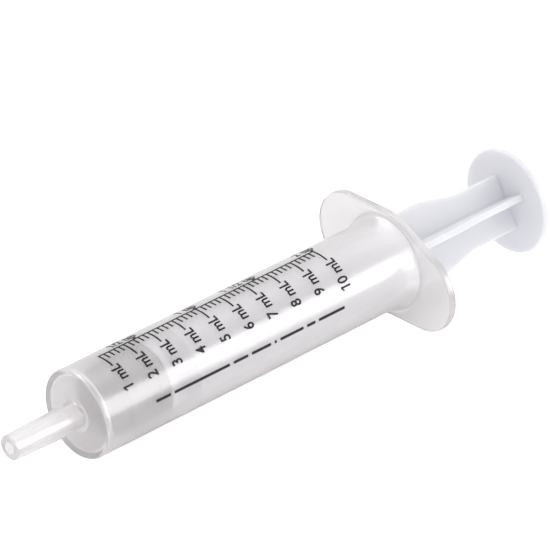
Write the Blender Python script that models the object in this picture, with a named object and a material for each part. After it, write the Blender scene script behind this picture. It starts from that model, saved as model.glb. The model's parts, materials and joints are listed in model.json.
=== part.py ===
"""Oral syringe for measured doses of liquid medicine, ten millilitres.

Three moulded pieces: a barrel with its nozzle and finger flange, a plunger rod
with its thumb rest, and the rubber seal on the rod's head.  Everything is drawn
in the syringe's own frame, in metres: +X runs along the barrel's axis from the
nozzle to the thumb rest, x = 0 is the outer face of the barrel's shoulder, and
Y is the flange's long direction.  An empty then lays the whole syringe down as
it rests on a table: on the barrel's front edge and one slanted flange side.
"""
import math

import bmesh
import bpy

MM = 0.001

# Barrel.  The bore sets how far the plunger travels for each millilitre.
DOSE_PITCH = 5.70 * MM
MILLILITRE = 1.0e-6
BORE_R = math.sqrt(MILLILITRE / (math.pi * DOSE_PITCH))
BARREL_R = 8.5 * MM
SHOULDER_WALL = 1.25 * MM
SHOULDER_ROUND = 0.62 * MM
BORE_CORNER = 0.5 * MM
BORE_LEAD = 0.8 * MM

# Nozzle, a slim cone with a narrow channel through it.
NOZZLE_LENGTH = 15.3 * MM
NOZZLE_TIP_R = 2.41 * MM
NOZZLE_ROOT_R = 2.75 * MM
NOZZLE_EDGE = 0.35 * MM
NOZZLE_FILLET = 0.7 * MM
CHANNEL_TIP_R = 1.15 * MM
CHANNEL_ROOT_R = 1.40 * MM

# Finger flange: two end lobes and a wider middle, joined by straight slanted sides.
FLANGE_X = 74.5 * MM
FLANGE_THICKNESS = 1.6 * MM
FLANGE_LOBE_R = 8.26 * MM
FLANGE_LOBE_OFFSET = 9.42 * MM
FLANGE_MIDDLE_R = 10.71 * MM
FLANGE_EDGE = 0.4 * MM
FLARE_LENGTH = 3.6 * MM
FLARE_HEIGHT = 1.8 * MM
FLARE_END_DEG = -7.0

# Seal, drawn back to the first millilitre: one pitch behind the chamber's end wall.
FIRST_MARK_X = SHOULDER_WALL + DOSE_PITCH
SEAL_LENGTH = 9.0 * MM
SEAL_GAP = 0.1 * MM
SEAL_WAIST_DEPTH = 0.5 * MM
SEAL_LAND = 1.9 * MM
SEAL_SLOPE = 0.5 * MM
SEAL_EDGE = 0.3 * MM
SOCKET_R = 4.5 * MM
SOCKET_LENGTH = 3.4 * MM
THROAT_R = 3.3 * MM
THROAT_LENGTH = 2.9 * MM

# Plunger rod.
PART_GAP = 0.3 * MM
PLATE_R = 7.15 * MM
PLATE_THICKNESS = 1.3 * MM
PLATE_EDGE = 0.2 * MM
SECOND_PLATE_OFFSET = 6.6 * MM
RIB_THICKNESS = 1.2 * MM
RIB_CORNER = 0.5 * MM
RIB_WIDE = 7.15 * MM
RIB_NARROW = 5.42 * MM
RIB_ANGLE_DEG = 45.0
WAIST_START_X = 86.0 * MM
WAIST_END_X = 95.5 * MM
THUMB_X = 105.6 * MM
THUMB_R = 10.3 * MM
THUMB_THICKNESS = 1.3 * MM
THUMB_EDGE = 0.4 * MM

# How finely round shapes are divided.
TURN_STEPS = 48
EDGE_STEPS = 3
FLARE_STEPS = 6
LOBE_STEPS = 16
MIDDLE_STEPS = 4
WAIST_STEPS = 8
OVERSHOOT = 1.0 * MM
SHARP_DEG = 35.0

NOZZLE_X = -NOZZLE_LENGTH
BARREL_END_X = FLANGE_X + FLANGE_THICKNESS
SEAL_END_X = FIRST_MARK_X + SEAL_LENGTH
PLATE_X = SEAL_END_X + PART_GAP
THUMB_END_X = THUMB_X + THUMB_THICKNESS


def clear_scene():
    """Remove every object that the file opened with."""
    for item in list(bpy.data.objects):
        bpy.data.objects.remove(item, do_unlink=True)


def plastic(name, colour, roughness, transmission=0.0):
    """A moulded material with a plain colour."""
    material = bpy.data.materials.new(name)
    material.use_nodes = True
    shader = material.node_tree.nodes["Principled BSDF"]
    shader.inputs["Base Color"].default_value = (*colour, 1.0)
    shader.inputs["Roughness"].default_value = roughness
    shader.inputs["Metallic"].default_value = 0.0
    shader.inputs["Transmission Weight"].default_value = transmission
    return material


def barrel_plastic():
    """Milky translucent polypropylene."""
    return plastic("milky_polypropylene", (0.80, 0.78, 0.79), 0.35, 0.6)


def rod_plastic():
    """Opaque white polypropylene."""
    return plastic("white_polypropylene", (0.86, 0.87, 0.91), 0.40)


def seal_rubber():
    """Soft grey rubber with a violet cast."""
    return plastic("grey_rubber", (0.30, 0.28, 0.32), 0.55)


def arc(centre, radii, start_deg, end_deg, steps):
    """Points (x, radius) along an elliptical arc, both ends included."""
    points = []
    for step in range(steps + 1):
        angle = math.radians(start_deg + (end_deg - start_deg) * step / steps)
        points.append((centre[0] + radii[0] * math.cos(angle), centre[1] + radii[1] * math.sin(angle)))
    return points


def new_object(name, mesh_data, parent, material=None):
    """Link a mesh built in bmesh as an object under the resting empty."""
    mesh = bpy.data.meshes.new(name)
    bmesh.ops.recalc_face_normals(mesh_data, faces=mesh_data.faces)
    mesh_data.to_mesh(mesh)
    mesh_data.free()
    mesh.shade_smooth()
    mesh.set_sharp_from_angle(angle=math.radians(SHARP_DEG))
    item = bpy.data.objects.new(name, mesh)
    bpy.context.collection.objects.link(item)
    item.parent = parent
    if material:
        mesh.materials.append(material)
    return item


def helper(item):
    """Mark an object that only shapes another one."""
    item.hide_render = True
    item.display_type = 'WIRE'
    return item


def lathe(profile):
    """Turn a profile of (x, radius) points about the X axis.

    The profile starts and ends on the axis, so the turned shape is closed.
    """
    turned = bmesh.new()
    rings = []
    for x, radius in profile:
        if radius == 0.0:
            rings.append([turned.verts.new((x, 0.0, 0.0))])
            continue
        ring = []
        for step in range(TURN_STEPS):
            angle = math.tau * step / TURN_STEPS
            ring.append(turned.verts.new((x, -radius * math.sin(angle), radius * math.cos(angle))))
        rings.append(ring)
    for near, far in zip(rings, rings[1:]):
        for step in range(TURN_STEPS):
            following = (step + 1) % TURN_STEPS
            if len(near) == 1:
                turned.faces.new((near[0], far[step], far[following]))
            elif len(far) == 1:
                turned.faces.new((near[step], far[0], near[following]))
            else:
                turned.faces.new((near[step], far[step], far[following], near[following]))
    return turned


def combine(item, other, operation):
    """Add a live Boolean that keeps the exact solver."""
    modifier = item.modifiers.new(other.name, 'BOOLEAN')
    modifier.operation = operation
    modifier.object = other
    modifier.solver = 'EXACT'


def round_plate(start_x, thickness, radius, edge):
    """A turned disc with rounded rims."""
    end_x = start_x + thickness
    profile = [(start_x, 0.0)]
    profile += arc((start_x + edge, radius - edge), (edge, edge), 180.0, 90.0, EDGE_STEPS)
    profile += arc((end_x - edge, radius - edge), (edge, edge), 90.0, 0.0, EDGE_STEPS)
    profile.append((end_x, 0.0))
    return lathe(profile)


def barrel_outside():
    """The solid outside of nozzle, shoulder, tube and flare, up into the flange."""
    profile = [(NOZZLE_X, 0.0)]
    profile += arc((NOZZLE_X + NOZZLE_EDGE, NOZZLE_TIP_R - NOZZLE_EDGE), (NOZZLE_EDGE, NOZZLE_EDGE),
                   180.0, 90.0, EDGE_STEPS)
    profile += arc((-NOZZLE_FILLET, NOZZLE_ROOT_R + NOZZLE_FILLET), (NOZZLE_FILLET, NOZZLE_FILLET),
                   -90.0, 0.0, EDGE_STEPS)
    profile += arc((SHOULDER_ROUND, BARREL_R - SHOULDER_ROUND), (SHOULDER_ROUND, SHOULDER_ROUND),
                   180.0, 90.0, EDGE_STEPS)
    profile += arc((FLANGE_X - FLARE_LENGTH, BARREL_R + FLARE_HEIGHT), (FLARE_LENGTH, FLARE_HEIGHT),
                   -90.0, FLARE_END_DEG, FLARE_STEPS)
    inside_flange_x = FLANGE_X + FLANGE_THICKNESS / 3.0
    profile.append((inside_flange_x, profile[-1][1]))
    profile.append((inside_flange_x, 0.0))
    return lathe(profile)


def bore_space():
    """The space inside: nozzle channel, flat chamber end, bore and lead-in at the rear."""
    profile = [(NOZZLE_X - OVERSHOOT, 0.0), (NOZZLE_X - OVERSHOOT, CHANNEL_TIP_R)]
    profile.append((SHOULDER_WALL, CHANNEL_ROOT_R))
    profile += arc((SHOULDER_WALL + BORE_CORNER, BORE_R - BORE_CORNER), (BORE_CORNER, BORE_CORNER),
                   180.0, 90.0, EDGE_STEPS)
    profile.append((BARREL_END_X - BORE_LEAD, BORE_R))
    profile.append((BARREL_END_X + OVERSHOOT, BORE_R + (BORE_LEAD + OVERSHOOT) / 2.0))
    profile.append((BARREL_END_X + OVERSHOOT, 0.0))
    return lathe(profile)


def flange_slant():
    """Angle of the flange's straight sides from its long direction, in radians."""
    return math.asin((FLANGE_MIDDLE_R - FLANGE_LOBE_R) / FLANGE_LOBE_OFFSET)


def flange_outline():
    """Points (y, z) around the flange: lobe, middle, lobe, middle."""
    slant = math.degrees(flange_slant())
    points = arc((FLANGE_LOBE_OFFSET, 0.0), (FLANGE_LOBE_R, FLANGE_LOBE_R),
                 slant - 90.0, 90.0 - slant, LOBE_STEPS)
    points += arc((0.0, 0.0), (FLANGE_MIDDLE_R, FLANGE_MIDDLE_R),
                  90.0 - slant, 90.0 + slant, MIDDLE_STEPS)
    return points + [(-y, -z) for y, z in points]


def flange_plate():
    """The flange as a flat plate, before its rims are rounded."""
    plate = bmesh.new()
    outline = [plate.verts.new((FLANGE_X, y, z)) for y, z in flange_outline()]
    front = plate.faces.new(outline)
    grown = bmesh.ops.extrude_face_region(plate, geom=[front])
    moved = [part for part in grown["geom"] if isinstance(part, bmesh.types.BMVert)]
    bmesh.ops.translate(plate, verts=moved, vec=(FLANGE_THICKNESS, 0.0, 0.0))
    rims = [edge for edge in plate.edges if abs(edge.verts[0].co.x - edge.verts[1].co.x) < FLANGE_EDGE]
    bmesh.ops.bevel(plate, geom=rims, offset=FLANGE_EDGE, segments=2, profile=0.5, affect='EDGES')
    return plate


def build_barrel(parent):
    """Barrel, nozzle and finger flange, moulded as one."""
    barrel = new_object("barrel", barrel_outside(), parent, barrel_plastic())
    flange = helper(new_object("flange_shape", flange_plate(), parent))
    space = helper(new_object("bore_shape", bore_space(), parent))
    combine(barrel, flange, 'UNION')
    combine(barrel, space, 'DIFFERENCE')
    return barrel


def build_seal(parent):
    """Rubber seal with a land at each end and a socket for the rod's head."""
    land_r = BORE_R - SEAL_GAP
    waist_r = land_r - SEAL_WAIST_DEPTH
    waist_start = FIRST_MARK_X + SEAL_LAND + SEAL_SLOPE
    waist_end = SEAL_END_X - SEAL_LAND - SEAL_SLOPE
    throat_x = SEAL_END_X - THROAT_LENGTH
    profile = [(FIRST_MARK_X, 0.0)]
    profile += arc((FIRST_MARK_X + SEAL_EDGE, land_r - SEAL_EDGE), (SEAL_EDGE, SEAL_EDGE),
                   180.0, 90.0, EDGE_STEPS)
    profile.append((FIRST_MARK_X + SEAL_LAND, land_r))
    profile.append((waist_start, waist_r))
    profile.append((waist_end, waist_r))
    profile.append((SEAL_END_X - SEAL_LAND, land_r))
    profile += arc((SEAL_END_X - SEAL_EDGE, land_r - SEAL_EDGE), (SEAL_EDGE, SEAL_EDGE),
                   90.0, 0.0, EDGE_STEPS)
    profile.append((SEAL_END_X, THROAT_R))
    profile.append((throat_x, THROAT_R))
    profile.append((throat_x, SOCKET_R))
    profile.append((throat_x - SOCKET_LENGTH, SOCKET_R))
    profile.append((throat_x - SOCKET_LENGTH, 0.0))
    return new_object("plunger_seal", lathe(profile), parent, seal_rubber())


def rod_head():
    """Mushroom head and neck that hold the seal, with the plate behind it."""
    throat_x = SEAL_END_X - THROAT_LENGTH
    head_r = SOCKET_R - PART_GAP
    neck_r = THROAT_R - PART_GAP
    plate_end = PLATE_X + PLATE_THICKNESS
    profile = [(throat_x - SOCKET_LENGTH + PART_GAP, 0.0)]
    profile.append((throat_x - SOCKET_LENGTH + PART_GAP, neck_r))
    profile.append((throat_x - SOCKET_LENGTH / 2.0, head_r))
    profile.append((throat_x - PART_GAP, head_r))
    profile.append((throat_x - PART_GAP, neck_r))
    profile.append((PLATE_X, neck_r))
    profile += arc((PLATE_X + PLATE_EDGE, PLATE_R - PLATE_EDGE), (PLATE_EDGE, PLATE_EDGE),
                   180.0, 90.0, EDGE_STEPS)
    profile += arc((plate_end - PLATE_EDGE, PLATE_R - PLATE_EDGE), (PLATE_EDGE, PLATE_EDGE),
                   90.0, 0.0, EDGE_STEPS)
    profile.append((plate_end, 0.0))
    return lathe(profile)


def rib_width(x):
    """Half width of the ribs at x: wide in the barrel, waisted towards the thumb rest."""
    share = (x - WAIST_START_X) / (WAIST_END_X - WAIST_START_X)
    share = min(1.0, max(0.0, share))
    smooth = share * share * (3.0 - 2.0 * share)
    return RIB_WIDE + (RIB_NARROW - RIB_WIDE) * smooth


def cross_section(x, rib_r):
    """Points around a four-ribbed section at x, its inner corners cut at an angle."""
    half = RIB_THICKNESS / 2.0
    corner = half + RIB_CORNER
    quarter = [(rib_r, -half), (rib_r, half), (corner, half), (half, corner)]
    points = []
    for turn in range(4):
        angle = math.radians(RIB_ANGLE_DEG + 90.0 * turn)
        for across, along in quarter:
            points.append((x, across * math.cos(angle) - along * math.sin(angle),
                           across * math.sin(angle) + along * math.cos(angle)))
    return points


def rod_ribs():
    """The four ribs, lofted from the front plate into the thumb rest."""
    stations = [PLATE_X + PLATE_THICKNESS / 2.0]
    for step in range(WAIST_STEPS + 1):
        stations.append(WAIST_START_X + (WAIST_END_X - WAIST_START_X) * step / WAIST_STEPS)
    stations.append(THUMB_X + THUMB_THICKNESS / 2.0)
    ribs = bmesh.new()
    sections = []
    for x in stations:
        sections.append([ribs.verts.new(point) for point in cross_section(x, rib_width(x))])
    count = len(sections[0])
    for near, far in zip(sections, sections[1:]):
        for index in range(count):
            following = (index + 1) % count
            ribs.faces.new((near[index], far[index], far[following], near[following]))
    ribs.faces.new(sections[0])
    ribs.faces.new(sections[-1])
    return ribs


def build_rod(parent):
    """Plunger rod: head, two plates, four ribs and thumb rest, moulded as one."""
    rod = new_object("plunger_rod", rod_ribs(), parent, rod_plastic())
    second_plate = round_plate(PLATE_X + SECOND_PLATE_OFFSET, PLATE_THICKNESS, PLATE_R, PLATE_EDGE)
    thumb_rest = round_plate(THUMB_X, THUMB_THICKNESS, THUMB_R, THUMB_EDGE)
    for name, shape in (("head_shape", rod_head()), ("plate_shape", second_plate), ("thumb_shape", thumb_rest)):
        combine(rod, helper(new_object(name, shape, parent)), 'UNION')
    return rod


def resting_empty():
    """The empty that lays the syringe on a table, centred on the world's origin.

    The flange's slanted side sets the roll.  The barrel's front edge and the
    flange touch the table, which sets the tilt and the height.
    """
    tilt = math.atan((FLANGE_MIDDLE_R - BARREL_R) / (FLANGE_X - SHOULDER_ROUND))
    front_x = NOZZLE_X * math.cos(tilt) - (NOZZLE_TIP_R - NOZZLE_EDGE) * math.sin(tilt)
    rear_x = THUMB_END_X * math.cos(tilt) + (THUMB_R - THUMB_EDGE) * math.sin(tilt)
    rest = bpy.data.objects.new("resting_place", None)
    bpy.context.collection.objects.link(rest)
    rest.rotation_euler = (flange_slant(), -tilt, 0.0)
    rest.location = (-(front_x + rear_x) / 2.0, 0.0, BARREL_R * math.cos(tilt) - SHOULDER_ROUND * math.sin(tilt))
    return rest


def main():
    """Build the three pieces in their resting place."""
    clear_scene()
    rest = resting_empty()
    build_barrel(rest)
    build_seal(rest)
    build_rod(rest)


main()
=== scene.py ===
"""Oral syringe of ten millilitres: moulded surfaces, printed dose scale and finishes.

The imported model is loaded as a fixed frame.  Each of its three pieces is then
replaced by a finer skin drawn in the syringe's own frame: +X runs along the
axis from nozzle to thumb rest, X = 0 is the shoulder's outer face, and Y is the
finger flange's long direction.  Angles turn about X, from +Z towards -Y.
"""
import json
import logging
import math
from collections.abc import Callable, Sequence
from dataclasses import dataclass, field
from enum import Enum

import bmesh
import bpy
import numpy as np
from mathutils import Matrix, Vector


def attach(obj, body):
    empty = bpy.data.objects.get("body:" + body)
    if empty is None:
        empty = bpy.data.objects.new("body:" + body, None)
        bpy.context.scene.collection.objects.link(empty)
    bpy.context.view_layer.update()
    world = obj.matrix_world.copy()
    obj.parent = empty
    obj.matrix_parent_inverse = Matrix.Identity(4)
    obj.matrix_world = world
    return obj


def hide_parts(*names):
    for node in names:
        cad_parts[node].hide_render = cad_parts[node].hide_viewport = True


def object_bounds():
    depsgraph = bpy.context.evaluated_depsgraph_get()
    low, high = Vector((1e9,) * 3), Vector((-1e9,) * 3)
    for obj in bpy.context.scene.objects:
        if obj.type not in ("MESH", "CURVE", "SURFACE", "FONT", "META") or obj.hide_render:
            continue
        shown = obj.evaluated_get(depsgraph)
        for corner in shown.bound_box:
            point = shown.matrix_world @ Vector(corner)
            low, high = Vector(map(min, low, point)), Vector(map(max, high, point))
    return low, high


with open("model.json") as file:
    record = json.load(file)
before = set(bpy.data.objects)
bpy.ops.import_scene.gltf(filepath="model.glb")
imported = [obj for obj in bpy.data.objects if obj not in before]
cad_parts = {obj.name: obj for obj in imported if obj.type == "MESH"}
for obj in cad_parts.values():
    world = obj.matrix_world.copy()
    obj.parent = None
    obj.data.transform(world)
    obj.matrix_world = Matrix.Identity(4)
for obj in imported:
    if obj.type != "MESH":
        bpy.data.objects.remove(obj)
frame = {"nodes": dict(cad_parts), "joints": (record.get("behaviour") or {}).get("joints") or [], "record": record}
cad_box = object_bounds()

LOG = logging.getLogger("oral_syringe")

MM = 0.001
FULL_TURN = 2.0 * math.pi
TURN_STEPS = 256
MERGE_DISTANCE = 1.0e-7
SHARP_ANGLE = math.radians(38.0)

Radius = float | np.ndarray
Profile = list[tuple[float, Radius]]


# ---------------------------------------------------------------- geometry


class SkinEnd(Enum):
    """How a stack of rings is closed into one skin."""

    JOINED = "the last ring meets the first, as round a tube"
    POINTED = "a point closes each end, as on a rod"


@dataclass(frozen=True)
class SyringeFrame:
    """The syringe's own frame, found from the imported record.

    Attributes:
        to_world: matrix that takes the syringe's own points to the row frame.
    """

    to_world: Matrix

    @classmethod
    def from_record(cls, record: dict, joints: list[dict], shoulder_to_thumb: float) -> "SyringeFrame":
        """Find the frame from the plunger's axis and two mounts.

        Args:
            record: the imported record, for its mounts.
            joints: the frame's joints, for the plunger's axis.
            shoulder_to_thumb: length from the shoulder's face to the thumb rest's face.

        Returns:
            The syringe's frame.
        """
        mounts = {mount["name"]: Vector(mount["pos_m"]) for mount in record["mounts"]}
        along = Vector(joints[0]["axis"]).normalized()
        origin = mounts["thumb_rest"] - along * shoulder_to_thumb
        wing = mounts["flange_front"] - origin
        across = (wing - along * wing.dot(along)).normalized()
        up = along.cross(across)
        turn = Matrix((along, across, up)).transposed().to_4x4()
        return cls(Matrix.Translation(origin) @ turn)

    def place(self, points: np.ndarray) -> np.ndarray:
        """Take points from the syringe's own frame to the row frame.

        Args:
            points: one row of x, y and z for each point.

        Returns:
            The same points in the row frame.
        """
        matrix = np.array(self.to_world)
        return points @ matrix[:3, :3].T + matrix[:3, 3]

    def span(self, node: bpy.types.Object) -> tuple[float, float]:
        """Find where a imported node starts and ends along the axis.

        Args:
            node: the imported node.

        Returns:
            Its lowest and highest x in the syringe's own frame.
        """
        inverse = self.to_world.inverted()
        along = [(inverse @ vertex.co).x for vertex in node.data.vertices]
        return min(along), max(along)


def arc(centre: tuple[float, float], radii: tuple[float, float], start: float, end: float,
        steps: int) -> Profile:
    """Make the points of an elliptical arc.

    Args:
        centre: x and radius of the arc's centre.
        radii: half widths of the ellipse along x and across it.
        start: first angle in degrees, counted from +x.
        end: last angle in degrees.
        steps: number of stretches along the arc.

    Returns:
        Points of x and radius, both ends included.
    """
    angles = np.radians(np.linspace(start, end, steps + 1))
    return [(centre[0] + radii[0] * math.cos(a), centre[1] + radii[1] * math.sin(a)) for a in angles]


def line(start: tuple[float, Radius], end: tuple[float, Radius], steps: int) -> Profile:
    """Make the points between two ends, neither end included.

    Args:
        start: x and radius at the start; the radius may be one number for each angle.
        end: x and radius at the end.
        steps: number of stretches along the line.

    Returns:
        The points in between.
    """
    shares = [step / steps for step in range(1, steps)]
    return [(start[0] + (end[0] - start[0]) * s, start[1] + (end[1] - start[1]) * s) for s in shares]


def clean_mesh(name: str, points: np.ndarray, faces: list[tuple[int, ...]]) -> bpy.types.Mesh:
    """Build a mesh with merged points, outward faces and smooth shading.

    Args:
        name: the mesh's name.
        points: its points in the row frame.
        faces: its faces, as numbers of points.

    Returns:
        The mesh.
    """
    mesh = bpy.data.meshes.new(name)
    mesh.from_pydata(points.tolist(), [], faces)
    skin = bmesh.new()
    skin.from_mesh(mesh)
    bmesh.ops.remove_doubles(skin, verts=skin.verts, dist=MERGE_DISTANCE)
    bmesh.ops.dissolve_degenerate(skin, edges=skin.edges, dist=MERGE_DISTANCE)
    bmesh.ops.recalc_face_normals(skin, faces=skin.faces)
    skin.to_mesh(mesh)
    skin.free()
    mesh.shade_smooth()
    mesh.set_sharp_from_angle(angle=SHARP_ANGLE)
    return mesh


@dataclass
class RingSkin:
    """A skin drawn through rings of points around the syringe's axis.

    Attributes:
        angles: the angle of each point of a ring, the same in all rings.
        profile: x and radius of each ring; a radius may differ by angle.
    """

    angles: np.ndarray
    profile: Profile

    def rings(self) -> np.ndarray:
        """Work out the points of all rings, ring by ring.

        Returns:
            One row of x, y and z for each point.
        """
        stacked = [np.column_stack((np.full(len(self.angles), x),
                                    -np.sin(self.angles) * radius,
                                    np.cos(self.angles) * radius)) for x, radius in self.profile]
        return np.vstack(stacked)

    def mesh(self, name: str, place: SyringeFrame, end: SkinEnd) -> bpy.types.Mesh:
        """Join the rings into one closed mesh.

        Args:
            name: the mesh's name.
            place: the syringe's frame.
            end: how the skin is closed.

        Returns:
            The mesh, in the row frame.
        """
        count, rows = len(self.angles), len(self.profile)
        points = self.rings()
        bands = rows if end is SkinEnd.JOINED else rows - 1
        faces = []
        for row in range(bands):
            near, far = row * count, (row + 1) % rows * count
            for step in range(count):
                following = (step + 1) % count
                faces.append((near + step, far + step, far + following, near + following))
        if end is SkinEnd.POINTED:
            tips = np.array([[self.profile[0][0], 0.0, 0.0], [self.profile[-1][0], 0.0, 0.0]])
            first, last = len(points), (rows - 1) * count
            points = np.vstack((points, tips))
            for step in range(count):
                following = (step + 1) % count
                faces.append((first, step, following))
                faces.append((first + 1, last + following, last + step))
        return clean_mesh(name, place.place(points), faces)


def even_turn(steps: int) -> np.ndarray:
    """Give evenly spaced angles for one full turn."""
    return np.arange(steps) * FULL_TURN / steps


# --------------------------------------------------------------- materials

NodeValue = float | bpy.types.NodeSocket
MOST_MARKED = 0.5  # the handling marks' strongest value
BLACK = (0.0, 0.0, 0.0, 1.0)
WHITE = (1.0, 1.0, 1.0, 1.0)


def set_inputs(node: bpy.types.Node, values: dict[str, float | Sequence[float]]) -> None:
    """Set the inputs of a node that stay the same all over the surface."""
    for label, value in values.items():
        node.inputs[label].default_value = value


def new_group(name: str, inputs: dict[str, float], outputs: Sequence[str]) -> bpy.types.NodeTree:
    """Start a shader node group with number sockets.

    Args:
        name: the group's name.
        inputs: each input's name and starting value.
        outputs: the names of the outputs.

    Returns:
        The group's node tree, with its input and output nodes named enter and leave.
    """
    tree = bpy.data.node_groups.new(name, "ShaderNodeTree")
    for label, value in inputs.items():
        socket = tree.interface.new_socket(label, in_out="INPUT", socket_type="NodeSocketFloat")
        socket.default_value = value
    for label in outputs:
        tree.interface.new_socket(label, in_out="OUTPUT", socket_type="NodeSocketFloat")
    tree.nodes.new("NodeGroupInput").name = "enter"
    tree.nodes.new("NodeGroupOutput").name = "leave"
    return tree


def feed(tree: bpy.types.NodeTree, value: NodeValue, target: bpy.types.NodeSocket) -> None:
    """Feed an input from a socket, or set it to a number.

    Args:
        tree: the node tree.
        value: the socket or the number.
        target: the input.
    """
    if isinstance(value, bpy.types.NodeSocket):
        tree.links.new(value, target)
    else:
        target.default_value = value


def math_node(tree: bpy.types.NodeTree, operation: str, first: NodeValue,
              second: NodeValue) -> bpy.types.NodeSocket:
    """Add a Math node fed by sockets or numbers.

    Args:
        tree: the node tree.
        operation: the node's operation.
        first: its first input.
        second: its second input.

    Returns:
        The node's result.
    """
    node = tree.nodes.new("ShaderNodeMath")
    node.operation = operation
    feed(tree, first, node.inputs[0])
    feed(tree, second, node.inputs[1])
    return node.outputs[0]


def noise_node(tree: bpy.types.NodeTree, place: bpy.types.NodeSocket, scale: NodeValue, detail: float,
               distortion: float = 0.0) -> bpy.types.NodeSocket:
    """Add a noise texture.

    Args:
        tree: the node tree.
        place: the coordinates that it reads.
        scale: its scale, as a number or a socket.
        detail: how many finer layers it adds.
        distortion: how far it is stirred.

    Returns:
        The noise's value.
    """
    node = tree.nodes.new("ShaderNodeTexNoise")
    set_inputs(node, {"Detail": detail, "Distortion": distortion})
    feed(tree, scale, node.inputs["Scale"])
    tree.links.new(place, node.inputs["Vector"])
    return node.outputs["Fac"]


def mould_grain_group() -> bpy.types.NodeTree:
    """Build the group for a moulded surface: fine grain, slow waves and cloudy colour.

    Returns:
        A group that takes Grain Scale, Wave Scale and Wave Share, and gives Height and Cloud.
    """
    tree = new_group("mould_grain", {"Grain Scale": 2500.0, "Wave Scale": 160.0, "Wave Share": 0.5},
                     ("Height", "Cloud"))
    enter, leave = tree.nodes["enter"], tree.nodes["leave"]
    place = tree.nodes.new("ShaderNodeTexCoord").outputs["Object"]
    grain = noise_node(tree, place, enter.outputs["Grain Scale"], detail=2.0)
    wave = noise_node(tree, place, enter.outputs["Wave Scale"], detail=1.0, distortion=0.4)
    shared = math_node(tree, "MULTIPLY", wave, enter.outputs["Wave Share"])
    tree.links.new(math_node(tree, "ADD", grain, shared), leave.inputs["Height"])
    cloud_scale = math_node(tree, "MULTIPLY", enter.outputs["Wave Scale"], 0.6)
    tree.links.new(noise_node(tree, place, cloud_scale, detail=3.0), leave.inputs["Cloud"])
    return tree


def handling_marks_group() -> bpy.types.NodeTree:
    """Build the group for faint rubbed streaks left by handling.

    Returns:
        A group that takes Streak Scale, Patch Scale and Stretch, and gives Mask.
    """
    tree = new_group("handling_marks", {"Streak Scale": 900.0, "Patch Scale": 70.0, "Stretch": 0.08},
                     ("Mask",))
    enter, leave = tree.nodes["enter"], tree.nodes["leave"]
    place = tree.nodes.new("ShaderNodeTexCoord").outputs["Object"]
    stretch = tree.nodes.new("ShaderNodeCombineXYZ")
    tree.links.new(enter.outputs["Stretch"], stretch.inputs[0])
    stretch.inputs[1].default_value = 1.0
    stretch.inputs[2].default_value = 1.0
    narrow = tree.nodes.new("ShaderNodeVectorMath")
    narrow.operation = "MULTIPLY"
    tree.links.new(place, narrow.inputs[0])
    tree.links.new(stretch.outputs[0], narrow.inputs[1])
    streaks = noise_node(tree, narrow.outputs[0], enter.outputs["Streak Scale"], detail=4.0, distortion=1.2)
    patches = noise_node(tree, place, enter.outputs["Patch Scale"], detail=2.0)
    tree.links.new(math_node(tree, "MULTIPLY", streaks, patches), leave.inputs["Mask"])
    return tree


def place_group(tree: bpy.types.NodeTree, name: str, build: Callable[[], bpy.types.NodeTree],
                values: dict[str, float]) -> bpy.types.Node:
    """Place a shared node group in a material, building it the first time it is needed.

    Args:
        tree: the material's node tree.
        name: the group's name.
        build: the function that builds it.
        values: the values of its inputs in this material.

    Returns:
        The group's node.
    """
    node = tree.nodes.new("ShaderNodeGroup")
    node.node_tree = bpy.data.node_groups.get(name) or build()
    set_inputs(node, values)
    return node


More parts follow.
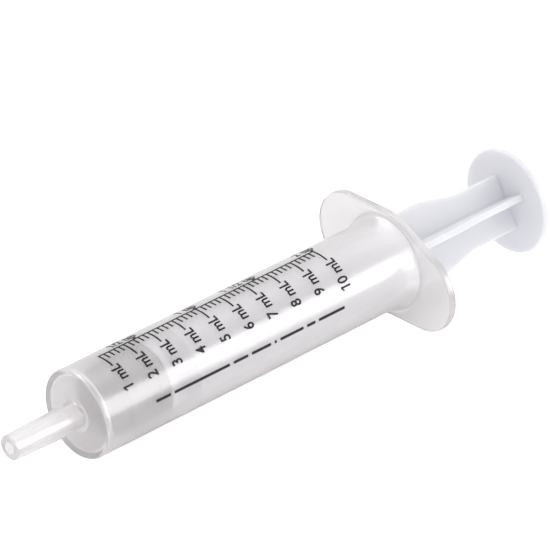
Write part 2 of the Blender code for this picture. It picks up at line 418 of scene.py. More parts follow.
@dataclass(frozen=True)
class Finish:
    """A moulded finish: two close tints, a grain in the surface and faint streaks in the gloss.

    Attributes:
        name: the material's name.
        tint: the main colour, linear.
        second_tint: the colour in the cloudy patches, linear.
        roughness: the lowest and highest roughness.
        grain_scale: fineness of the grain, per metre.
        wave_scale: fineness of the slow waves, per metre.
        wave_share: how strong the waves are beside the grain.
        bump_strength: how strongly the grain bends the light.
        bump_depth: the grain's depth in metres.
        streak_scale: fineness of the rubbed streaks, per metre.
        patch_scale: fineness of the patches where they gather, per metre.
        streak_stretch: how much slower the streaks change along the syringe than across it.
        transmission: share of light that passes through.
        refraction: index of refraction.
        scatter: share of light that spreads under the surface.
        scatter_reach: how far red, green and blue light spreads, in metres.
        specular: how strongly the surface mirrors light.
    """

    name: str
    tint: tuple[float, float, float]
    second_tint: tuple[float, float, float]
    roughness: tuple[float, float]
    grain_scale: float = 2500.0
    wave_scale: float = 160.0
    wave_share: float = 0.5
    bump_strength: float = 0.3
    bump_depth: float = 0.02 * MM
    streak_scale: float = 900.0
    patch_scale: float = 70.0
    streak_stretch: float = 0.08
    transmission: float = 0.0
    refraction: float = 1.49
    scatter: float = 0.0
    scatter_reach: tuple[float, float, float] = (1.0 * MM, 1.0 * MM, 1.0 * MM)
    specular: float = 0.5

    def material(self) -> bpy.types.Material:
        """Build the finish as a material.

        Returns:
            The material.
        """
        material = bpy.data.materials.new(self.name)
        material.use_nodes = True
        tree = material.node_tree
        shader = tree.nodes["Principled BSDF"]
        set_inputs(shader, {"Transmission Weight": self.transmission, "IOR": self.refraction,
                            "Subsurface Weight": self.scatter, "Subsurface Radius": self.scatter_reach,
                            "Subsurface Scale": 1.0, "Specular IOR Level": self.specular})
        grain = place_group(tree, "mould_grain", mould_grain_group, {
            "Grain Scale": self.grain_scale, "Wave Scale": self.wave_scale, "Wave Share": self.wave_share})
        marks = place_group(tree, "handling_marks", handling_marks_group, {
            "Streak Scale": self.streak_scale, "Patch Scale": self.patch_scale,
            "Stretch": self.streak_stretch})
        tint = tree.nodes.new("ShaderNodeMix")
        tint.data_type = "RGBA"
        set_inputs(tint, {"A": (*self.tint, 1.0), "B": (*self.second_tint, 1.0)})
        tree.links.new(grain.outputs["Cloud"], tint.inputs["Factor"])
        tree.links.new(tint.outputs["Result"], shader.inputs["Base Color"])
        gloss = tree.nodes.new("ShaderNodeMapRange")
        set_inputs(gloss, {"From Max": MOST_MARKED, "To Min": self.roughness[0],
                           "To Max": self.roughness[1]})
        tree.links.new(marks.outputs["Mask"], gloss.inputs["Value"])
        tree.links.new(gloss.outputs["Result"], shader.inputs["Roughness"])
        bump = tree.nodes.new("ShaderNodeBump")
        set_inputs(bump, {"Strength": self.bump_strength, "Distance": self.bump_depth})
        tree.links.new(grain.outputs["Height"], bump.inputs["Height"])
        tree.links.new(bump.outputs["Normal"], shader.inputs["Normal"])
        return material


MILKY_PLASTIC = Finish("milky_polypropylene", (0.975, 0.955, 0.96), (0.985, 0.965, 0.97), (0.20, 0.26),
                       wave_scale=90.0, bump_strength=0.25, transmission=0.75)
WHITE_PLASTIC = Finish("white_polypropylene", (0.66, 0.66, 0.69), (0.68, 0.68, 0.71), (0.46, 0.60),
                       bump_strength=0.3, scatter=1.0, scatter_reach=(2.0 * MM, 2.0 * MM, 2.0 * MM),
                       specular=0.3)
SEAL_RUBBER = Finish("grey_rubber", (0.085, 0.07, 0.088), (0.11, 0.095, 0.113), (0.42, 0.6),
                     grain_scale=4000.0, bump_strength=0.5)
SCALE_INK = Finish("black_print", (0.010, 0.009, 0.010), (0.02, 0.018, 0.02), (0.45, 0.65),
                   grain_scale=6000.0, bump_strength=0.4, bump_depth=0.01 * MM, specular=0.15)


def dress_object(mesh: bpy.types.Mesh, finish: Finish, body: str,
                 node: str | None = None) -> bpy.types.Object:
    """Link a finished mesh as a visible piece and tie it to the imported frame.

    Args:
        mesh: the piece's mesh, in the row frame, with the piece's name.
        finish: its finish.
        body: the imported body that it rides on.
        node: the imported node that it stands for, if there is one.

    Returns:
        The new object.
    """
    piece = bpy.data.objects.new(mesh.name, mesh)
    bpy.context.scene.collection.objects.link(piece)
    mesh.materials.append(finish.material())
    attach(piece, body)
    if node is not None:
        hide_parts(node)
    return piece


# ------------------------------------------------------------------ barrel


@dataclass
class Barrel:
    """The barrel with its nozzle and finger flange, moulded as one.

    Attributes:
        place: the syringe's frame.
        tip_x: where the nozzle starts.
        end_x: where the flange ends.
        bore_lead: length of the bore's tapered mouth, which opens by half as much.
        lobe_radius: radius of the flange's two end lobes.
        lobe_offset: how far their middles lie from the axis.
        middle_radius: radius of the flange's middle.
        flare_end_deg: where the flare's arc stops; at 0 it would meet the flange squarely.
        near: how far inside the rim's rounding the flange's flat faces get their last ring.
    """

    place: SyringeFrame
    tip_x: float
    end_x: float
    radius: float = 8.5 * MM
    bore_radius: float = 7.473 * MM
    shoulder_wall: float = 1.25 * MM
    shoulder_round: float = 0.62 * MM
    bore_corner: float = 0.5 * MM
    bore_lead: float = 0.8 * MM
    nozzle_tip_radius: float = 2.41 * MM
    nozzle_root_radius: float = 2.75 * MM
    nozzle_edge: float = 0.35 * MM
    nozzle_fillet: float = 0.7 * MM
    channel_tip_radius: float = 1.15 * MM
    channel_root_radius: float = 1.40 * MM
    channel_edge: float = 0.12 * MM
    flange_thickness: float = 1.6 * MM
    flange_edge: float = 0.4 * MM
    lobe_radius: float = 8.24 * MM
    lobe_offset: float = 9.42 * MM
    middle_radius: float = 10.71 * MM
    flare_length: float = 3.6 * MM
    flare_height: float = 1.8 * MM
    flare_end_deg: float = -4.0
    near: float = 0.05 * MM

    @property
    def flange_x(self) -> float:
        """Where the flange's front face lies."""
        return self.end_x - self.flange_thickness

    def flange_radius(self, angles: np.ndarray, inset: float) -> np.ndarray:
        """Work out the flange's outline: two end lobes and a wider middle, joined by straight sides.

        Args:
            angles: angles about the axis.
            inset: how far the outline is drawn in.

        Returns:
            The outline's distance from the axis at each angle.
        """
        lobe, middle, offset = self.lobe_radius - inset, self.middle_radius - inset, self.lobe_offset
        slant = math.asin((middle - lobe) / offset)
        turned = np.arctan2(np.abs(np.cos(angles)), np.abs(np.sin(angles)))
        lobe_end = math.atan2(lobe * math.cos(slant), offset + lobe * math.sin(slant))
        middle_start = math.pi / 2.0 - slant
        round_end = offset * np.cos(turned) + np.sqrt(
            np.maximum(lobe ** 2 - (offset * np.sin(turned)) ** 2, 0.0))
        straight = middle / np.cos(turned - middle_start)
        outline = np.where(turned <= lobe_end, round_end, straight)
        return np.where(turned >= middle_start, middle, outline)

    def nozzle_profile(self) -> Profile:
        """Draw the nozzle's outside.

        Returns:
            Rings from the channel's edge to the shoulder's face.
        """
        edge, fillet, tip = self.nozzle_edge, self.nozzle_fillet, self.tip_x
        profile = arc((tip + self.channel_edge, self.channel_tip_radius + self.channel_edge),
                      (self.channel_edge, self.channel_edge), 270.0, 180.0, 4)
        profile += line((tip, self.channel_tip_radius + self.channel_edge),
                        (tip, self.nozzle_tip_radius - edge), 4)
        profile += arc((tip + edge, self.nozzle_tip_radius - edge), (edge, edge), 180.0, 90.0, 8)
        root = (-fillet, self.nozzle_root_radius)
        profile += line((tip + edge, self.nozzle_tip_radius), root, 14)
        profile += arc((root[0], root[1] + fillet), (fillet, fillet), -90.0, 0.0, 10)
        return profile

    def tube_profile(self) -> Profile:
        """Draw the shoulder, the tube and the flare.

        Returns:
            Rings from the shoulder's face, over its rounded edge, up to the flange.
        """
        edge, flange_x = self.shoulder_round, self.flange_x
        profile = line((0.0, self.nozzle_root_radius + self.nozzle_fillet), (0.0, self.radius - edge), 8)
        profile += arc((edge, self.radius - edge), (edge, edge), 180.0, 90.0, 10)
        flare_x = flange_x - self.flare_length
        profile += line((edge, self.radius), (flare_x, self.radius), 36)
        profile += arc((flare_x, self.radius + self.flare_height), (self.flare_length, self.flare_height),
                       -90.0, self.flare_end_deg, 20)
        profile[-1] = (flange_x, profile[-1][1])
        return profile

    def flange_profile(self, angles: np.ndarray) -> Profile:
        """Draw the flange's front face, rim and rear face.

        Args:
            angles: angles about the axis.

        Returns:
            Rings from the foot of the flare to the bore's mouth.
        """
        edge = self.flange_edge
        foot = self.radius + self.flare_height * (1.0 + math.sin(math.radians(self.flare_end_deg)))
        front, rear = self.flange_x, self.end_x
        mouth = self.bore_radius + self.bore_lead / 2.0
        inner = self.flange_radius(angles, edge)
        profile = line((front, np.minimum(foot, inner - self.near)), (front, inner - self.near), 6)
        profile.append((front, inner - self.near))
        profile += [(x, self.flange_radius(angles, inset)) for x, inset in self.rim(front, edge, 1.0)]
        profile += [(x, self.flange_radius(angles, inset)) for x, inset in self.rim(rear, edge, -1.0)]
        profile.append((rear, inner - self.near))
        profile += line((rear, inner - self.near), (rear, mouth), 6)
        return profile

    @staticmethod
    def rim(face_x: float, edge: float, inward: float) -> list[tuple[float, float]]:
        """Round one edge of the flange's rim.

        Args:
            face_x: where the face lies.
            edge: the rounding's radius.
            inward: 1 where the plate lies behind the face, and -1 where it lies ahead of it.

        Returns:
            Points of x and inset, in the order that the rings take.
        """
        turns = np.radians(np.linspace(0.0, 90.0, 8))
        points = [(face_x + inward * edge * (1.0 - math.cos(t)), edge * (1.0 - math.sin(t))) for t in turns]
        return points if inward > 0.0 else points[::-1]

    def bore_profile(self) -> Profile:
        """Draw the bore and the channel.

        Returns:
            Rings from the bore's mouth to its end wall, and out through the nozzle.
        """
        corner, wall, lead = self.bore_corner, self.shoulder_wall, self.bore_lead
        mouth, lead_end = (self.end_x, self.bore_radius + lead / 2.0), (self.end_x - lead, self.bore_radius)
        profile = [mouth]
        profile += line(mouth, lead_end, 3)
        profile += line(lead_end, (wall + corner, self.bore_radius), 36)
        profile += arc((wall + corner, self.bore_radius - corner), (corner, corner), 90.0, 180.0, 8)
        profile += line((wall, self.bore_radius - corner), (wall, self.channel_root_radius), 6)
        profile.append((wall, self.channel_root_radius))
        inner = (self.tip_x + self.channel_edge, self.channel_tip_radius)
        profile += line((wall, self.channel_root_radius), inner, 12)
        return profile

    def build(self) -> bpy.types.Object:
        """Build the barrel as one closed skin and dress it in milky plastic.

        Returns:
            The barrel's skin.
        """
        angles = even_turn(TURN_STEPS)
        profile = self.nozzle_profile() + self.tube_profile() + self.flange_profile(angles)
        profile += self.bore_profile()
        mesh = RingSkin(angles, profile).mesh("barrel_skin", self.place, SkinEnd.JOINED)
        return dress_object(mesh, MILKY_PLASTIC, "barrel", "barrel")


# ----------------------------------------------------------------- plunger


@dataclass
class PlungerSeal:
    """The rubber seal: a land at each end, a waist between them and a socket for the rod's head.

    Attributes:
        place: the syringe's frame.
        front_x: where the seal starts.
        rear_x: where it ends.
        slope: length of the soft slope between a land and the waist.
        throat_radius: radius of the opening that the rod's neck passes through.
    """

    place: SyringeFrame
    front_x: float
    rear_x: float
    land_radius: float = 7.373 * MM
    waist_radius: float = 6.873 * MM
    land_length: float = 1.9 * MM
    slope: float = 0.5 * MM
    edge: float = 0.3 * MM
    throat_radius: float = 3.3 * MM
    throat_length: float = 2.9 * MM
    socket_radius: float = 4.5 * MM
    socket_length: float = 3.4 * MM

    def build(self) -> bpy.types.Object:
        """Turn the seal's profile and dress it in grey rubber.

        Returns:
            The seal's skin.
        """
        edge, land, waist = self.edge, self.land_radius, self.waist_radius
        throat_x = self.rear_x - self.throat_length
        socket_x = throat_x - self.socket_length
        profile = [(self.front_x, land * share) for share in (0.2, 0.5, 0.8)]
        profile += arc((self.front_x + edge, land - edge), (edge, edge), 180.0, 90.0, 6)
        profile += self.waist_slope(self.front_x + self.land_length, land, waist)
        profile += self.waist_slope(self.rear_x - self.land_length - self.slope, waist, land)
        profile += arc((self.rear_x - edge, land - edge), (edge, edge), 90.0, 0.0, 6)
        profile += [(self.rear_x, 0.5 * (land + self.throat_radius)), (self.rear_x, self.throat_radius)]
        profile += [(throat_x, self.throat_radius), (throat_x, self.socket_radius)]
        profile += [(socket_x, self.socket_radius), (socket_x, 0.5 * self.socket_radius)]
        mesh = RingSkin(even_turn(TURN_STEPS // 2), profile).mesh("seal_skin", self.place, SkinEnd.POINTED)
        return dress_object(mesh, SEAL_RUBBER, "plunger", "plunger_seal")

    def waist_slope(self, start_x: float, start_radius: float, end_radius: float) -> Profile:
        """Draw one soft slope between a land and the waist.

        Args:
            start_x: where the slope starts.
            start_radius: the radius there.
            end_radius: the radius one slope further on.

        Returns:
            The slope's points, both ends included.
        """
        points = []
        for share in np.linspace(0.0, 1.0, 7):
            eased = share * share * (3.0 - 2.0 * share)
            points.append((start_x + self.slope * share, start_radius + (end_radius - start_radius) * eased))
        return points


@dataclass
class PlungerRod:
    """The rod: a head in the seal, two plates, four ribs with a waist, and the thumb rest.

    Attributes:
        place: the syringe's frame.
        head_x: where the head starts.
        plate_x: where the front plate starts.
        end_x: where the thumb rest ends.
        second_plate_offset: how far the second plate stands behind the front one.
        rib_half: half of a rib's thickness.
        rib_wide: the ribs' reach from the axis inside the barrel.
        rib_narrow: their reach behind the waist.
        foot_fillet: rounding where the ribs meet a plate.
        fans: first angle, last angle and count of the points from a rib's middle to the valley
            beside it, in degrees, closest together at the rib's corner.
    """

    place: SyringeFrame
    head_x: float
    plate_x: float
    end_x: float
    neck_radius: float = 3.0 * MM
    head_radius: float = 4.2 * MM
    head_length: float = 2.8 * MM
    plate_radius: float = 7.15 * MM
    plate_thickness: float = 1.3 * MM
    plate_edge: float = 0.2 * MM
    second_plate_offset: float = 6.6 * MM
    rib_half: float = 0.6 * MM
    rib_corner: float = 0.22 * MM
    root_fillet: float = 0.5 * MM
    rib_wide: float = 7.1 * MM
    rib_narrow: float = 5.42 * MM
    rib_angle_deg: float = 45.0
    foot_fillet: float = 0.35 * MM
    waist_start_x: float = 86.0 * MM
    waist_end_x: float = 95.5 * MM
    thumb_radius: float = 10.3 * MM
    thumb_thickness: float = 1.3 * MM
    thumb_edge: float = 0.4 * MM
    fans: tuple[tuple[float, float, int], ...] = (
        (0.0, 2.4, 3), (3.0, 7.2, 15), (8.6, 27.4, 12), (28.9, 42.6, 6))

    def turn(self) -> np.ndarray:
        """Spread the angles of a whole ring.

        Returns:
            Angles in radians, counted from the first rib's middle.
        """
        half = np.radians(np.concatenate([np.linspace(*fan) for fan in self.fans]))
        quarter = np.concatenate((half, [math.pi / 4.0], math.pi / 2.0 - half[:0:-1]))
        return np.concatenate([quarter + math.pi / 2.0 * index for index in range(4)])

    def ribbed(self, reach: float, grow: float = 0.0) -> np.ndarray:
        """Work out the four-ribbed section's distance from the axis at each angle.

        Args:
            reach: half width across opposite ribs.
            grow: how much thicker the ribs are, for the fillet at their foot.

        Returns:
            The distance at each of the ring's angles.
        """
        turned = np.abs((self.turn() + math.pi / 4.0) % (math.pi / 2.0) - math.pi / 4.0)
        half, corner, fillet = self.rib_half + grow, self.rib_corner, self.root_fillet
        across, along = np.cos(turned), np.sin(turned)
        section = reach / across
        lean = (reach - corner) * across + (half - corner) * along
        rounded = lean + np.sqrt(np.maximum(
            corner ** 2 - (reach - corner) ** 2 - (half - corner) ** 2 + lean ** 2, 0.0))
        section = np.where(turned > math.atan2(half - corner, reach), rounded, section)
        side = half / np.maximum(along, 1.0e-6)
        section = np.where(turned > math.atan2(half, reach - corner), side, section)
        valley = half + fillet
        lean = valley * (across + along)
        hollow = lean - np.sqrt(np.maximum(fillet ** 2 - 2.0 * valley ** 2 + lean ** 2, 0.0))
        return np.where(turned > math.atan2(half, valley), hollow, section)

    def reach_at(self, x: float) -> float:
        """Give the ribs' reach at x: wide in the barrel, waisted towards the thumb rest."""
        share = min(1.0, max(0.0, (x - self.waist_start_x) / (self.waist_end_x - self.waist_start_x)))
        return self.rib_wide + (self.rib_narrow - self.rib_wide) * share * share * (3.0 - 2.0 * share)

    def foot(self, wall_x: float, inward: float) -> Profile:
        """Draw the fillet where the ribs meet a plate or the thumb rest.

        Args:
            wall_x: where the flat face lies.
            inward: 1 where the ribs lie behind the face, and -1 where they lie ahead of it.

        Returns:
            Rings from the face out along the ribs, or back towards it, in the order of x.
        """
        size, rings = self.foot_fillet, []
        for turn in np.radians(np.linspace(0.0, 90.0, 7)):
            x = wall_x + inward * size * (1.0 - math.cos(turn))
            rings.append((x, self.ribbed(self.reach_at(x), size * (1.0 - math.sin(turn)))))
        return rings if inward > 0.0 else rings[::-1]

    def stretch(self, start_x: float, end_x: float, steps: int) -> Profile:
        """Draw plain ribs between two places, neither included."""
        places = np.linspace(start_x, end_x, steps + 1)[1:-1]
        return [(x, self.ribbed(self.reach_at(x))) for x in places]

    def disc(self, start_x: float, thickness: float, radius: float, edge: float) -> Profile:
        """Draw a round plate with rounded rims that swallows the ribs' tips.

        Args:
            start_x: where the plate starts.
            thickness: its thickness.
            radius: its radius.
            edge: the rounding of its rims.

        Returns:
            The plate's rings, from its front face to its rear face.
        """
        end_x = start_x + thickness
        profile = arc((start_x + edge, radius - edge), (edge, edge), 180.0, 90.0, 7)
        profile += arc((end_x - edge, radius - edge), (edge, edge), 90.0, 0.0, 7)
        return profile

    def head_profile(self) -> Profile:
        """Draw the mushroom head and neck that hold the seal.

        Returns:
            Rings from the head's front to the front plate.
        """
        rear_x = self.head_x + self.head_length
        profile = [(self.head_x, 0.5 * self.neck_radius), (self.head_x, self.neck_radius)]
        profile += [(0.5 * (self.head_x + rear_x), self.head_radius), (rear_x, self.head_radius)]
        profile += [(rear_x, self.neck_radius), (self.plate_x, self.neck_radius)]
        return profile

    def build(self) -> bpy.types.Object:
        """Draw the rod through its rings and dress it in white plastic.

        Returns:
            The rod's skin.
        """
        thumb_x = self.end_x - self.thumb_thickness
        second_x = self.plate_x + self.second_plate_offset
        first_end, second_end = self.plate_x + self.plate_thickness, second_x + self.plate_thickness
        fillet = self.foot_fillet
        profile = self.head_profile()
        profile += self.disc(self.plate_x, self.plate_thickness, self.plate_radius, self.plate_edge)
        profile += self.foot(first_end, 1.0)
        profile += self.stretch(first_end + fillet, second_x - fillet, 6)
        profile += self.foot(second_x, -1.0)
        profile += self.disc(second_x, self.plate_thickness, self.plate_radius, self.plate_edge)
        profile += self.foot(second_end, 1.0)
        profile += self.stretch(second_end + fillet, self.waist_start_x, 18)
        profile += self.stretch(self.waist_start_x - MM, self.waist_end_x + MM, 22)
        profile += self.stretch(self.waist_end_x + MM / 2.0, thumb_x - fillet, 8)
        profile += self.foot(thumb_x, -1.0)
        profile += self.disc(thumb_x, self.thumb_thickness, self.thumb_radius, self.thumb_edge)
        profile += [(self.end_x, self.thumb_radius * share) for share in (0.75, 0.5, 0.25)]
        rings = [(x, self.swallow(x, radius)) for x, radius in profile]
        turn = self.turn() + math.radians(self.rib_angle_deg)
        mesh = RingSkin(turn, rings).mesh("rod_skin", self.place, SkinEnd.POINTED)
        return dress_object(mesh, WHITE_PLASTIC, "plunger", "plunger_rod")

    def swallow(self, x: float, radius: Radius) -> np.ndarray:
        """Keep a plate's ring outside the ribs that run into it.

        Args:
            x: where the ring lies.
            radius: the ring's radius, or its distance from the axis at each angle.

        Returns:
            The ring's distance from the axis at each angle.
        """
        if isinstance(radius, np.ndarray):
            return radius
        ribs_start, ribs_end = self.plate_x + self.plate_thickness, self.end_x - self.thumb_thickness
        if ribs_start <= x <= ribs_end:
            return np.maximum(radius, self.ribbed(self.reach_at(x)))
        return np.full(len(self.turn()), radius)


# ------------------------------------------------------------------- scale


class Reading(Enum):
    """Which way a printed line reads on the barrel."""

    AROUND = "round the barrel, tops towards the nozzle"
    ALONG = "along the barrel, from nozzle to flange"


@dataclass
class DoseScale:
    """The printed scale: millilitre ticks with numbers, spoon marks and a plain bar line.

    Attributes:
        place: the syringe's frame.
        first_mark_x: where the first millilitre is marked.
        radius: the barrel's outside radius.
        pitch: distance between two millilitre marks.
        parts: how many ticks make a millilitre.
        rail_deg: angle of the line that all ticks start from.
        embolden: how far the letters' outlines are spread, as a share of the font's size.
        capital: height of the font's capitals, as a share of its size.
        flag: corners of the 1's flag, right of its left edge and above its top, in the same shares.
        ink_low: height of the ink's underside over the barrel.
        ink_high: height of its top.
        grid: widest stretch round the barrel that stays flat.
        spoons: words and millilitres of each spoon mark.
        bar_lengths: lengths of the plain bars, in order along the barrel.
        points: blocks of points printed so far.
        faces: faces printed so far, as numbers of points.
        count: how many points there are so far.
    """

    place: SyringeFrame
    first_mark_x: float
    radius: float
    pitch: float = 5.70 * MM
    marks: int = 10
    parts: int = 5
    line_width: float = 0.37 * MM
    rail_deg: float = -23.0
    short_end_deg: float = -11.0
    long_end_deg: float = 2.6
    label_end_deg: float = 2.4
    label_height: float = 2.3 * MM
    label_width_share: float = 0.84
    embolden: float = 0.02
    capital: float = 0.729
    flag: tuple[tuple[float, float], ...] = ((0.03, -0.005), (-0.17, -0.13), (-0.17, -0.26), (0.03, -0.14))
    ink_low: float = -0.02 * MM
    ink_high: float = 0.025 * MM
    grid: float = 0.25 * MM
    spoons: tuple[tuple[str, float], ...] = (
        ("1/2 tsp", 2.5), ("1 tsp", 5.0), ("1 1/2 tsp", 7.5), ("2 tsp", 10.0))
    spoon_tick_deg: float = 5.0
    spoon_label_deg: float = 12.0
    spoon_label_shift: float = 1.2 * MM
    spoon_label_height: float = 1.9 * MM
    bar_deg: float = 66.6
    bar_half: float = 0.27 * MM
    bar_gap: float = 0.9 * MM
    bar_start_x: float = 11.5 * MM
    bar_lengths: tuple[float, ...] = (
        3.4 * MM, 13.1 * MM, 3.5 * MM, 4.6 * MM, 0.5 * MM, 5.6 * MM, 2.0 * MM, 6.3 * MM)
    points: list[np.ndarray] = field(default_factory=list)
    faces: list[tuple[int, ...]] = field(default_factory=list)
    count: int = 0

    def wrap(self, flat: np.ndarray, height: float) -> np.ndarray:
        """Lay flat points on the barrel.

        Args:
            flat: rows of x and of the length round the barrel, counted from angle 0.
            height: how far the points stand off the barrel.

        Returns:
            The points in the syringe's own frame.
        """
        angles = flat[:, 1] / self.radius
        radius = self.radius + height
        return np.column_stack((flat[:, 0], -np.sin(angles) * radius, np.cos(angles) * radius))

    def print_flat(self, flat: bmesh.types.BMesh) -> None:
        """Print a flat shape: cut it finely, wrap it and give it the ink's thickness.

        Args:
            flat: faces in a plane, x along the barrel and y round it.
        """
        lows = min(vertex.co.y for vertex in flat.verts)
        highs = max(vertex.co.y for vertex in flat.verts)
        for cut in np.arange(math.ceil(lows / self.grid), math.floor(highs / self.grid) + 1):
            everything = flat.verts[:] + flat.edges[:] + flat.faces[:]
            bmesh.ops.bisect_plane(flat, geom=everything, dist=MERGE_DISTANCE,
                                   plane_co=(0.0, cut * self.grid, 0.0), plane_no=(0.0, 1.0, 0.0))
        flat.verts.index_update()
        places = np.array([vertex.co[:2] for vertex in flat.verts])
        size, base = len(places), self.count
        self.points += [self.wrap(places, self.ink_low), self.wrap(places, self.ink_high)]
        for face in flat.faces:
            ring = [vertex.index for vertex in face.verts]
            self.faces.append(tuple(base + size + index for index in ring))
            self.faces.append(tuple(base + index for index in reversed(ring)))
        for edge in flat.edges:
            if len(edge.link_faces) == 1:
                first, second = (vertex.index for vertex in edge.verts)
                self.faces.append((base + first, base + second, base + size + second, base + size + first))
        self.count += 2 * size
        flat.free()

    def print_bar(self, start_x: float, end_x: float, start_round: float, end_round: float) -> None:
        """Print a plain rectangle.

        Args:
            start_x: where it starts along the barrel.
            end_x: where it ends.
            start_round: where it starts round the barrel, in metres from angle 0.
            end_round: where it ends.
        """
        flat = bmesh.new()
        corners = ((start_x, start_round), (end_x, start_round), (end_x, end_round), (start_x, end_round))
        flat.faces.new([flat.verts.new((x, y, 0.0)) for x, y in corners])
        self.print_flat(flat)

    def print_words(self, words: str, x: float, angle_deg: float, height: float, reading: Reading) -> None:
        """Print numbers and a unit.

        Args:
            words: what is printed.
            x: the middle of the line along the barrel, or its end where it reads along.
            angle_deg: the angle at the line's end, or at its middle where it reads along.
            height: the height of a capital.
            reading: which way the line reads.
        """
        text = bpy.data.curves.new("words", "FONT")
        text.body = words
        text.offset = self.embolden
        text.resolution_u = 4
        text.align_x = "RIGHT"
        carrier = bpy.data.objects.new("words", text)
        flat = bmesh.new()
        bpy.context.scene.collection.objects.link(carrier)
        mesh = bpy.data.meshes.new_from_object(carrier.evaluated_get(bpy.context.evaluated_depsgraph_get()))
        flat.from_mesh(mesh)
        bpy.data.objects.remove(carrier)
        bpy.data.curves.remove(text)
        bpy.data.meshes.remove(mesh)
        bmesh.ops.remove_doubles(flat, verts=flat.verts, dist=1.0e-5)
        if words.startswith("1"):
            self.add_flag(flat)
        size, middle = height / self.capital, self.radius * math.radians(angle_deg)
        for vertex in flat.verts:
            right = vertex.co.x * size * self.label_width_share
            up = (vertex.co.y - self.capital / 2.0) * size
            if reading is Reading.AROUND:
                vertex.co = (x - up, middle - right, 0.0)
            else:
                vertex.co = (x + right, middle - up, 0.0)
        self.print_flat(flat)

    def add_flag(self, flat: bmesh.types.BMesh) -> None:
        """Give a plain 1 its slanted flag.

        Args:
            flat: the words' faces, with the 1 at their left end.
        """
        left = min(vertex.co.x for vertex in flat.verts)
        flat.faces.new([flat.verts.new((left + x, self.capital + y, 0.0)) for x, y in self.flag])

    def print_ticks(self) -> None:
        """Print the rail and every tick of the millilitre scale."""
        around = self.radius * math.radians(1.0)
        rail, half = self.rail_deg * around, self.line_width / 2.0
        last_x = self.first_mark_x + (self.marks - 1) * self.pitch
        for index in range((self.marks - 1) * self.parts + 1):
            x = self.first_mark_x + index * self.pitch / self.parts
            end = self.long_end_deg if index % self.parts == 0 else self.short_end_deg
            self.print_bar(x - half, x + half, rail, end * around)
        rail_end = 0.8 * half
        self.print_bar(self.first_mark_x - rail_end, last_x + rail_end, rail - half, rail + half)

    def print_numbers(self) -> None:
        """Print the number and unit beside each long tick."""
        for number in range(1, self.marks + 1):
            x = self.first_mark_x + (number - 1) * self.pitch
            self.print_words(f"{number} mL", x, self.label_end_deg, self.label_height, Reading.AROUND)

    def print_spoons(self) -> None:
        """Print the spoon marks on the far side of the rail."""
        around = self.radius * math.radians(1.0)
        rail, half = self.rail_deg * around, self.line_width / 2.0
        for words, millilitres in self.spoons:
            x = self.first_mark_x + (millilitres - 1.0) * self.pitch
            self.print_bar(x - half, x + half, rail - self.spoon_tick_deg * around, rail - half / 2.0)
            self.print_words(words, x + self.spoon_label_shift, self.rail_deg - self.spoon_label_deg,
                             self.spoon_label_height, Reading.ALONG)

    def print_bar_line(self) -> None:
        """Print a plain row of bars where other syringes carry a line of words."""
        middle, x = self.radius * math.radians(self.bar_deg), self.bar_start_x
        for length in self.bar_lengths:
            self.print_bar(x, x + length, middle - self.bar_half, middle + self.bar_half)
            x += length + self.bar_gap

    def build(self) -> bpy.types.Object:
        """Print the whole scale as one thin skin of ink.

        Returns:
            The scale.
        """
        self.print_ticks()
        self.print_numbers()
        self.print_spoons()
        self.print_bar_line()
        points = self.place.place(np.vstack(self.points))
        mesh = clean_mesh("dose_scale", points, self.faces)
        return dress_object(mesh, SCALE_INK, "barrel")


# ------------------------------------------------------------------ studio


@dataclass(frozen=True)
class SoftBox:
    """A soft square lamp aimed at the syringe.

    Attributes:
        name: the lamp's name.
        direction: where it stands, seen from the syringe.
        distance: how far away it stands, in metres.
        size: its width and height in metres.
        power: its power in watts.
        colour: its colour.
        gloss_only: whether it shows only as a highlight.
    """

    name: str
    direction: tuple[float, float, float]
    distance: float
    size: tuple[float, float]
    power: float
    colour: tuple[float, float, float] = (1.0, 1.0, 1.0)
    gloss_only: bool = False

    def build(self, target: Vector) -> bpy.types.Object:
        """Set the lamp up.

        Args:
            target: the point that it faces.

        Returns:
            The lamp.
        """
        lamp = bpy.data.lights.new(self.name, "AREA")
        lamp.shape = "RECTANGLE"
        lamp.size, lamp.size_y = self.size
        lamp.energy = self.power
        lamp.color = self.colour
        item = bpy.data.objects.new(self.name, lamp)
        bpy.context.scene.collection.objects.link(item)
        item.visible_camera = False
        item.visible_diffuse = not self.gloss_only
        item.visible_transmission = not self.gloss_only
        away = Vector(self.direction).normalized()
        item.location = target + away * self.distance
        item.rotation_euler = away.to_track_quat("Z", "Y").to_euler()
        return item


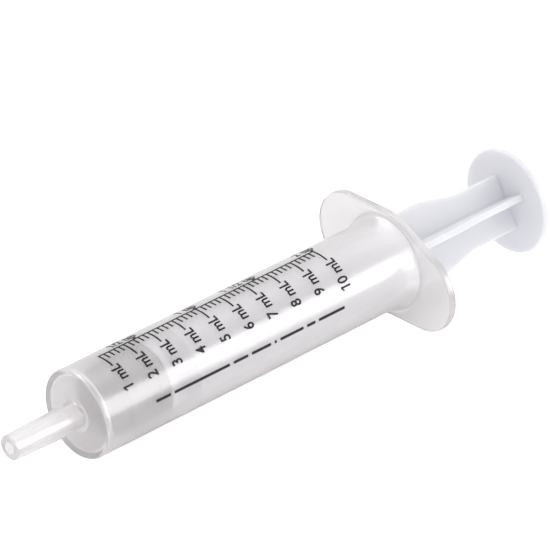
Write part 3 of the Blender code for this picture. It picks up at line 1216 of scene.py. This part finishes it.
@dataclass(frozen=True)
class Studio:
    """The floor, the lights and the camera.

    Attributes:
        azimuth_deg: the camera's turn about the vertical; 0 looks along +Y, 90 along -X.
        elevation_deg: the camera's height above the horizon.
        roll_deg: the camera's roll.
        distance: its distance in metres.
        aim_right: how far right of the box's middle it aims.
        aim_up: how far above it.
        lens: its focal length in millimetres.
        sensor: its sensor's width in millimetres.
        floor_glow: the floor's own light, which the camera sees in full.
        glow_share: the share of that light which falls on the syringe.
        bounces: how often light may bounce, enough for every wall of the barrel.
    """

    azimuth_deg: float = -42.09
    elevation_deg: float = 28.24
    roll_deg: float = 1.34
    distance: float = 1.00955
    aim_right: float = 1.16 * MM
    aim_up: float = 6.95 * MM
    lens: float = 368.5
    sensor: float = 36.0
    clip: tuple[float, float] = (0.01, 20.0)
    floor_half: float = 3.0
    floor_tones: tuple[float, float] = (0.83, 0.86)
    floor_cloud_scale: float = 8.0
    floor_roughness: float = 0.9
    floor_specular: float = 0.1
    floor_glow: float = 0.6
    glow_share: float = 0.72
    bounces: int = 24
    world_strength: float = 0.95
    boxes: tuple[SoftBox, ...] = (
        SoftBox("near_window", (0.12, -0.97, 0.22), 0.8, (1.36, 0.72), 26.0, gloss_only=True),
        SoftBox("far_window", (-0.32, 0.48, 0.81), 0.9, (0.5, 0.5), 6.5, gloss_only=True),
        SoftBox("side_box", (-0.2, 0.75, 0.6), 0.9, (0.6, 0.6), 0.3),
        SoftBox("top_box", (0.25, 0.1, 1.0), 0.9, (0.7, 0.7), 1.8, (0.95, 0.97, 1.0)),
    )

    def camera(self, centre: Vector) -> bpy.types.Object:
        """Set the camera up.

        Args:
            centre: the middle of the syringe's box.

        Returns:
            The camera.
        """
        azimuth, elevation = math.radians(self.azimuth_deg), math.radians(self.elevation_deg)
        back = Vector((math.sin(azimuth) * math.cos(elevation), -math.cos(azimuth) * math.cos(elevation),
                       math.sin(elevation)))
        right = Vector((-back.y, back.x, 0.0)).normalized()
        up = back.cross(right)
        roll = math.radians(self.roll_deg)
        right, up = (right * math.cos(roll) - up * math.sin(roll),
                     up * math.cos(roll) + right * math.sin(roll))
        data = bpy.data.cameras.new("camera")
        data.lens, data.sensor_width = self.lens, self.sensor
        data.clip_start, data.clip_end = self.clip
        item = bpy.data.objects.new("camera", data)
        bpy.context.scene.collection.objects.link(item)
        place = centre + right * self.aim_right + up * self.aim_up + back * self.distance
        item.matrix_world = Matrix.Translation(place) @ Matrix((right, up, back)).transposed().to_4x4()
        bpy.context.scene.camera = item
        return item

    def floor(self) -> bpy.types.Object:
        """Lay a plain pale floor under the syringe.

        Returns:
            The floor.
        """
        half = self.floor_half
        mesh = bpy.data.meshes.new("floor")
        mesh.from_pydata([(-half, -half, 0.0), (half, -half, 0.0), (half, half, 0.0), (-half, half, 0.0)],
                         [], [(0, 1, 2, 3)])
        material = bpy.data.materials.new("pale_floor")
        material.use_nodes = True
        tree = material.node_tree
        shader = tree.nodes["Principled BSDF"]
        place = tree.nodes.new("ShaderNodeTexCoord").outputs["Object"]
        tone = tree.nodes.new("ShaderNodeMapRange")
        set_inputs(tone, {"To Min": self.floor_tones[0], "To Max": self.floor_tones[1]})
        tree.links.new(noise_node(tree, place, self.floor_cloud_scale, detail=2.0), tone.inputs["Value"])
        tree.links.new(tone.outputs["Result"], shader.inputs["Base Color"])
        set_inputs(shader, {"Roughness": self.floor_roughness, "Emission Strength": self.floor_glow,
                            "Specular IOR Level": self.floor_specular})
        glow = tree.nodes.new("ShaderNodeMix")
        glow.data_type = "RGBA"
        set_inputs(glow, {"A": BLACK, "B": WHITE})
        rays = tree.nodes.new("ShaderNodeLightPath").outputs
        bounce = math_node(tree, "MULTIPLY", rays["Is Diffuse Ray"], self.glow_share)
        tree.links.new(math_node(tree, "MAXIMUM", rays["Is Camera Ray"], bounce), glow.inputs["Factor"])
        tree.links.new(glow.outputs["Result"], shader.inputs["Emission Color"])
        mesh.materials.append(material)
        item = bpy.data.objects.new("floor", mesh)
        bpy.context.scene.collection.objects.link(item)
        return item

    def world(self) -> bpy.types.World:
        """Surround the scene with even white light.

        Returns:
            The world.
        """
        world = bpy.data.worlds.new("studio")
        bpy.context.scene.world = world
        world.use_nodes = True
        backdrop = world.node_tree.nodes["Background"]
        set_inputs(backdrop, {"Color": WHITE, "Strength": self.world_strength})
        return world

    def build(self) -> None:
        """Set up floor, world, lamps, camera and a plain view transform."""
        low, high = cad_box
        centre = (low + high) / 2.0
        self.floor()
        self.world()
        for box in self.boxes:
            box.build(centre)
        self.camera(centre)
        scene = bpy.context.scene
        scene.view_settings.view_transform = "Standard"
        scene.view_settings.look = "None"
        scene.cycles.max_bounces = self.bounces
        scene.cycles.diffuse_bounces = self.bounces // 2
        scene.cycles.glossy_bounces = self.bounces // 2
        scene.cycles.transmission_bounces = self.bounces


# -------------------------------------------------------------------- main


@dataclass
class OralSyringe:
    """The whole syringe: barrel, seal, rod and printed scale.

    Attributes:
        thumb_x: length from the shoulder's face to the thumb rest's rear face.
        part_gap: room between the seal and the rod's front plate.
    """

    thumb_x: float = 106.9 * MM
    part_gap: float = 0.3 * MM

    def build(self) -> list[bpy.types.Object]:
        """Build every piece in order.

        Returns:
            The pieces.
        """
        nodes = frame["nodes"]
        place = SyringeFrame.from_record(frame["record"], frame["joints"], self.thumb_x)
        tip_x, flange_end_x = place.span(nodes["barrel"])
        seal_x, seal_end_x = place.span(nodes["plunger_seal"])
        head_x, thumb_end_x = place.span(nodes["plunger_rod"])
        barrel = Barrel(place, tip_x, flange_end_x)
        seal = PlungerSeal(place, seal_x, seal_end_x)
        rod = PlungerRod(place, head_x, seal_end_x + self.part_gap, thumb_end_x)
        scale = DoseScale(place, seal_x, barrel.radius)
        return [barrel.build(), seal.build(), rod.build(), scale.build()]


def main() -> None:
    """Build the syringe and its studio."""
    logging.basicConfig(level=logging.INFO, format="%(name)s: %(message)s")
    for piece in OralSyringe().build():
        LOG.info("%s: %d faces", piece.name, len(piece.data.polygons))
    Studio().build()


if __name__ == "__main__":
    main()
